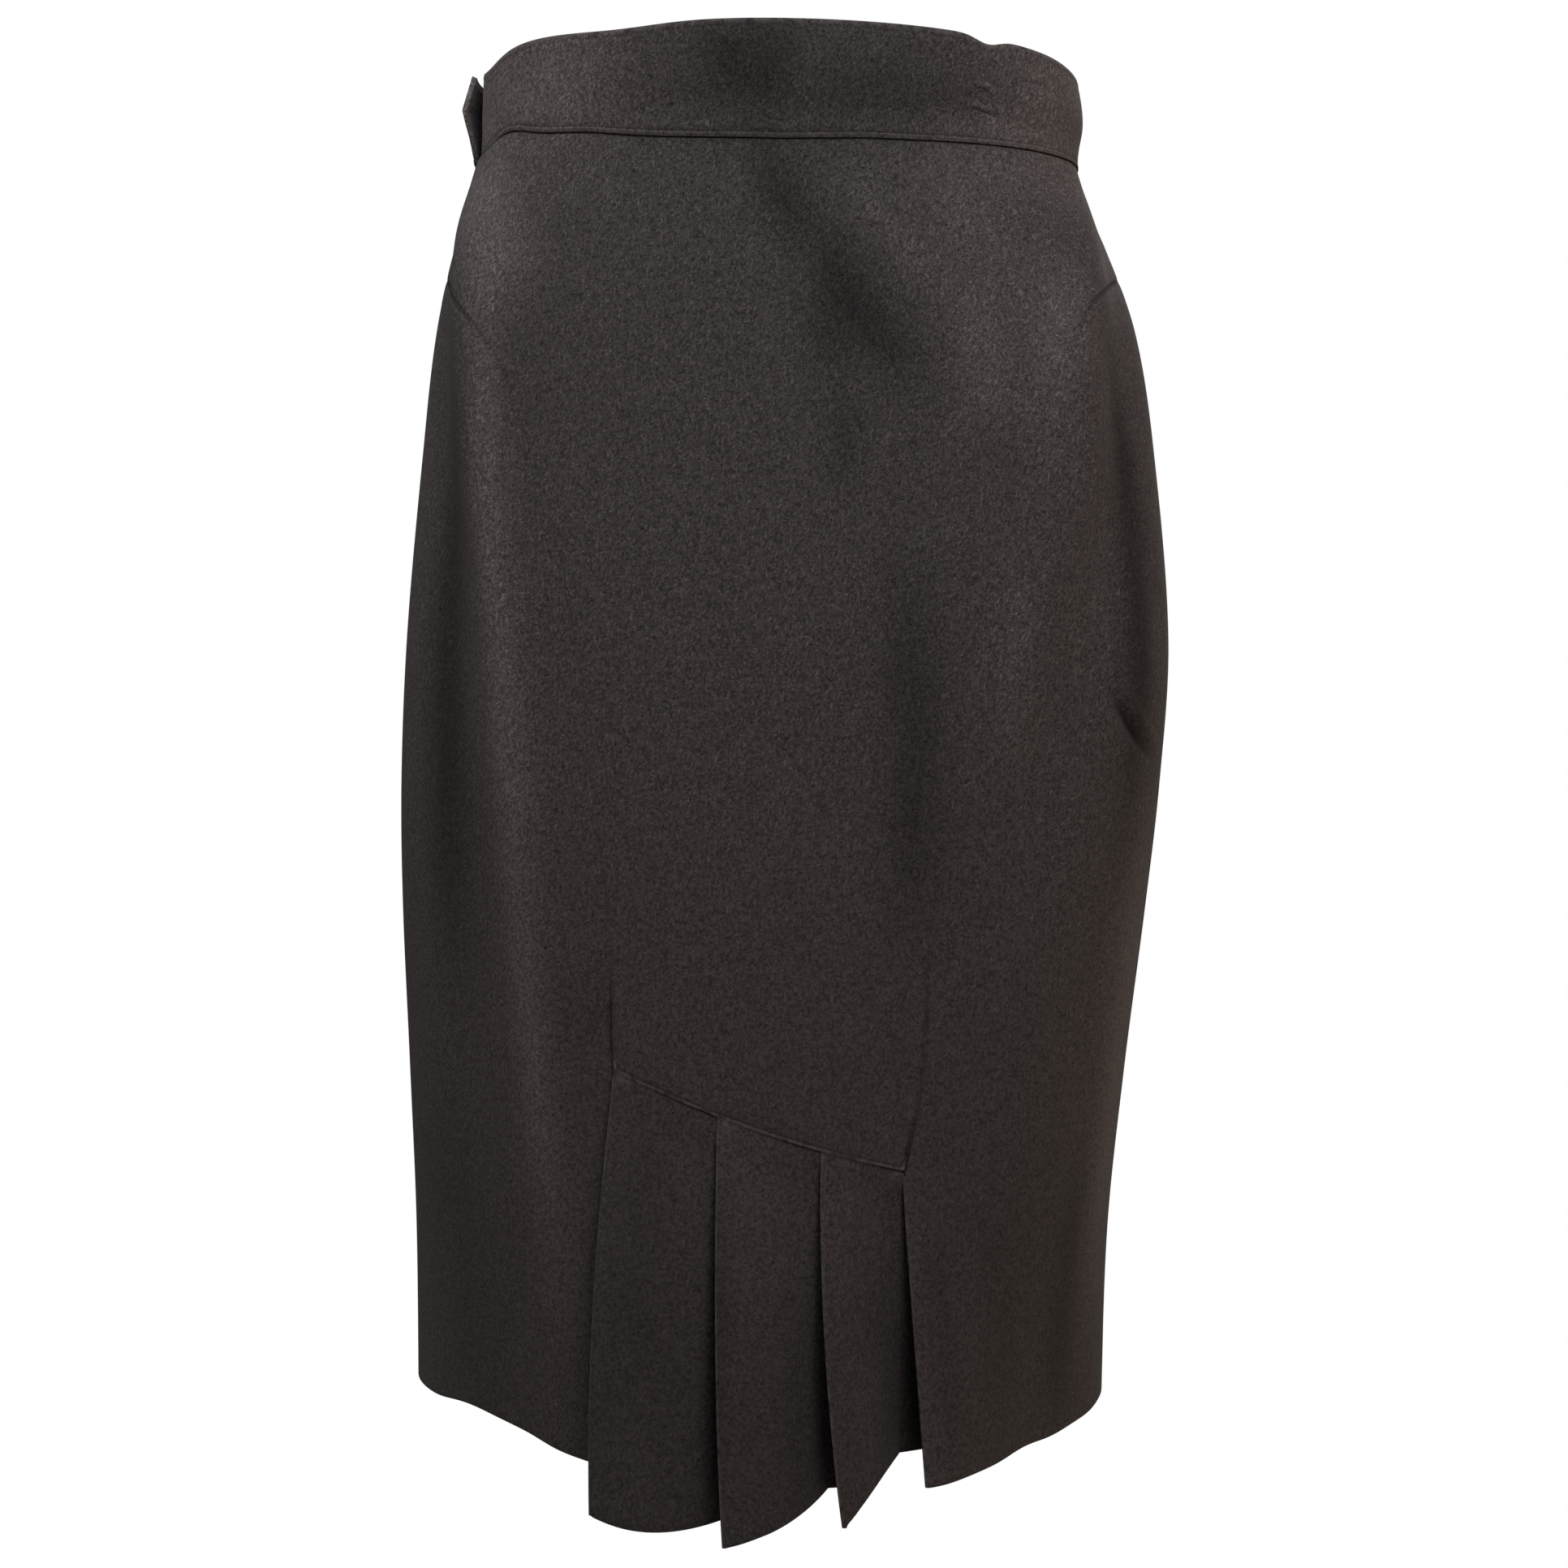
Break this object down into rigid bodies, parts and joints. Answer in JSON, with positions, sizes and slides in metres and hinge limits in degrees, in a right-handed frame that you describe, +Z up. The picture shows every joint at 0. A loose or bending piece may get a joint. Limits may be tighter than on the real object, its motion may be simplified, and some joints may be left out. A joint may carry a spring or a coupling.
{
  "type": "pencil skirt with an inset of knife pleats",
  "caption": "Knee-length wool pencil skirt held in its worn hollow shape, with a waistband, a slanted inset of knife pleats and a side zip.",
  "frame": {"origin": "middle of the waist, at the height of the side waist seams, where the wearer holds the skirt up", "axes": "+Z up, -Y towards the pleated side, +X to the right when that side is faced"},
  "size_m": [0.3775, 0.3354, 0.6595],
  "materials": {
    "wool": "matt melange wool flannel in dark brown grey, with short pale fibres",
    "zip_tape": "matt woven polyester tape",
    "zip_metal": "dark lacquered zip metal"
  },
  "bodies": {
    "root": {"waistband": "wool", "centre_panel": "wool", "side_panel_left": "wool", "side_panel_right": "wool", "pleat_inset": "wool", "back_panel_left": "wool", "back_panel_right": "wool", "zip_tape": "zip_tape", "zip_coil": "zip_tape", "zip_slider": "zip_metal"},
    "pull": {"zip_pull": "zip_metal"}
  },
  "joints": [
    {"name": "pull_hinge", "type": "hinge", "parent": "root", "child": "pull", "pos_m": [-0.15306, 0.01628, -0.01489], "axis": [0.1619, 0.9868, 0], "range_deg": [0, 160]}
  ]
}
